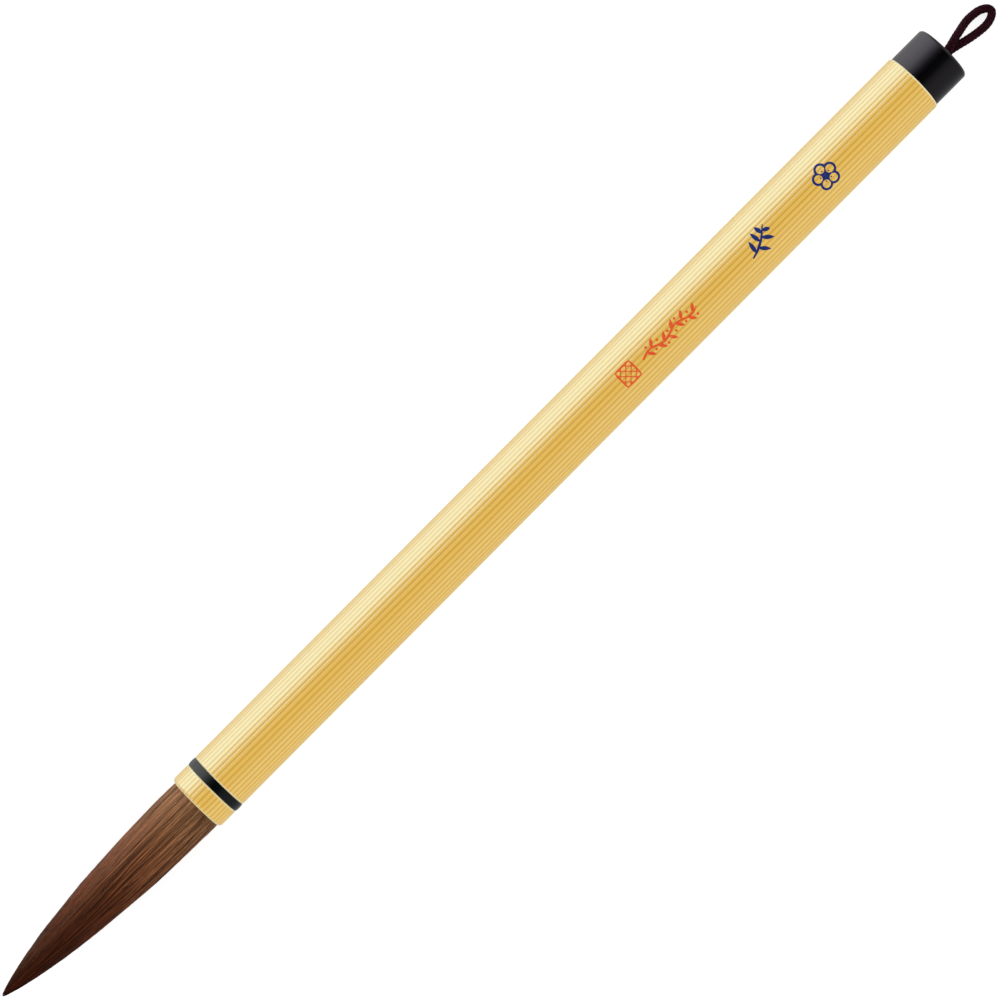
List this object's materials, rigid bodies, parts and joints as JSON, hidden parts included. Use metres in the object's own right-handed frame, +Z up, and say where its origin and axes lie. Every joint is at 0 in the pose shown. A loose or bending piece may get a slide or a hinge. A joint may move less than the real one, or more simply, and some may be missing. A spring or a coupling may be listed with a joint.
{
  "type": "calligraphy brush",
  "caption": "Slim round writing brush lying on a table: ribbed hollow handle, black ring and end cap, full tapered brown hair tuft and a short hanging loop of cord.",
  "frame": {"origin": "on the table under the middle of the brush, halfway between the hair's tip and the cap's end face", "axes": "+X along the brush from the hair's tip to the cap, +Z up from the table, +Y to the left when looking along +X"},
  "size_m": [0.2526, 0.012, 0.012],
  "materials": {
    "handle_plastic": "honey-yellow plastic with fine lengthwise ribs, satin gloss",
    "cap_plastic": "black, gloss",
    "ring_plastic": "black, satin",
    "coat_hair": "fine straight brown hair, lighter at the root and nearly black at the tip",
    "core_hair": "springy brown hair",
    "binding_thread": "twisted hemp thread",
    "rosin": "melted rosin, dull",
    "cord": "dark maroon braided cord",
    "print_blue": "blue ink printed on the ribs",
    "print_red": "red ink printed on the ribs"
  },
  "bodies": {
    "handle": {"handle_tube": "handle_plastic", "ferrule_collar": "handle_plastic", "ring_band": "ring_plastic", "end_cap": "cap_plastic", "hair_root": "core_hair", "root_thread": "binding_thread", "root_seal": "rosin", "cord_tails": "cord", "cord_knot": "cord"},
    "tuft": {"hair_core": "core_hair", "hair_coat": "coat_hair"},
    "loop": {"hanging_loop": "cord"}
  },
  "joints": [
    {"name": "tuft_bend", "type": "hinge", "parent": "handle", "child": "tuft", "pos_m": [-0.0797, 0, 0.006], "axis": [0, 0, 1], "range_deg": [-30, 30], "stiffness_Nm_per_rad": 0.02},
    {"name": "loop_swing", "type": "hinge", "parent": "handle", "child": "loop", "pos_m": [0.1209, -0.00037, 0.006], "axis": [0, 0, 1], "range_deg": [-60, 60]}
  ]
}
